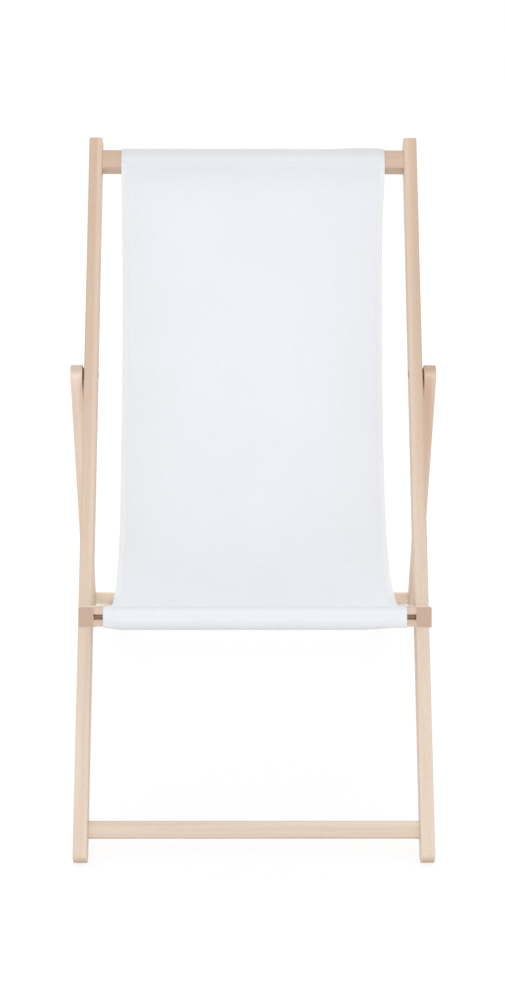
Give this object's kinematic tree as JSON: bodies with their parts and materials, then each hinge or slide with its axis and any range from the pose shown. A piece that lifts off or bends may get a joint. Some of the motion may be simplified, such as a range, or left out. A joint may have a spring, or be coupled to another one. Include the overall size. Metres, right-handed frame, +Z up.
{
  "type": "folding deck chair",
  "caption": "Folding wooden deck chair with a hanging cloth sling, hinged back, seat and prop frames and notched rails for reclining.",
  "frame": {"origin": "middle of the floor area the chair stands over, on the floor", "axes": "+X to the right of someone facing the front of the chair, +Y from the front to the rear, +Z up"},
  "size_m": [0.595, 0.9632, 0.9603],
  "materials": {
    "beech": "matte",
    "canvas": "matte",
    "zinc_steel": "satin"
  },
  "bodies": {
    "back_frame": {"left_back_rail": "beech", "right_back_rail": "beech", "top_bar": "beech", "foot_crossbar": "beech", "sling": "canvas", "top_hem_rod": "beech", "seat_pivot_bolts": "zinc_steel", "seat_pivot_washers": "zinc_steel", "seat_pivot_nuts": "zinc_steel", "prop_pivot_bolts": "zinc_steel", "prop_pivot_washers": "zinc_steel", "prop_pivot_nuts": "zinc_steel"},
    "seat_frame": {"left_seat_rail": "beech", "right_seat_rail": "beech", "front_bar_upper_slat": "beech", "front_bar_lower_slat": "beech", "rear_crossbar": "beech", "front_hem_rod": "beech"},
    "prop_frame": {"left_prop_leg": "beech", "right_prop_leg": "beech", "prop_crossbar": "beech"}
  },
  "joints": [
    {"name": "seat_fold", "type": "hinge", "parent": "back_frame", "child": "seat_frame", "pos_m": [0, -0.18451, 0.30654], "axis": [1, 0, 0], "range_deg": [0, 75.9], "deforming": ["sling"]},
    {"name": "prop_swing", "type": "hinge", "parent": "back_frame", "child": "prop_frame", "pos_m": [0, 0.0653, 0.62341], "axis": [1, 0, 0], "range_deg": [0, 125.68]}
  ],
  "couplings": [
    {"joint": "prop_swing", "follows": "seat_fold", "ratio": 1.6493}
  ]
}
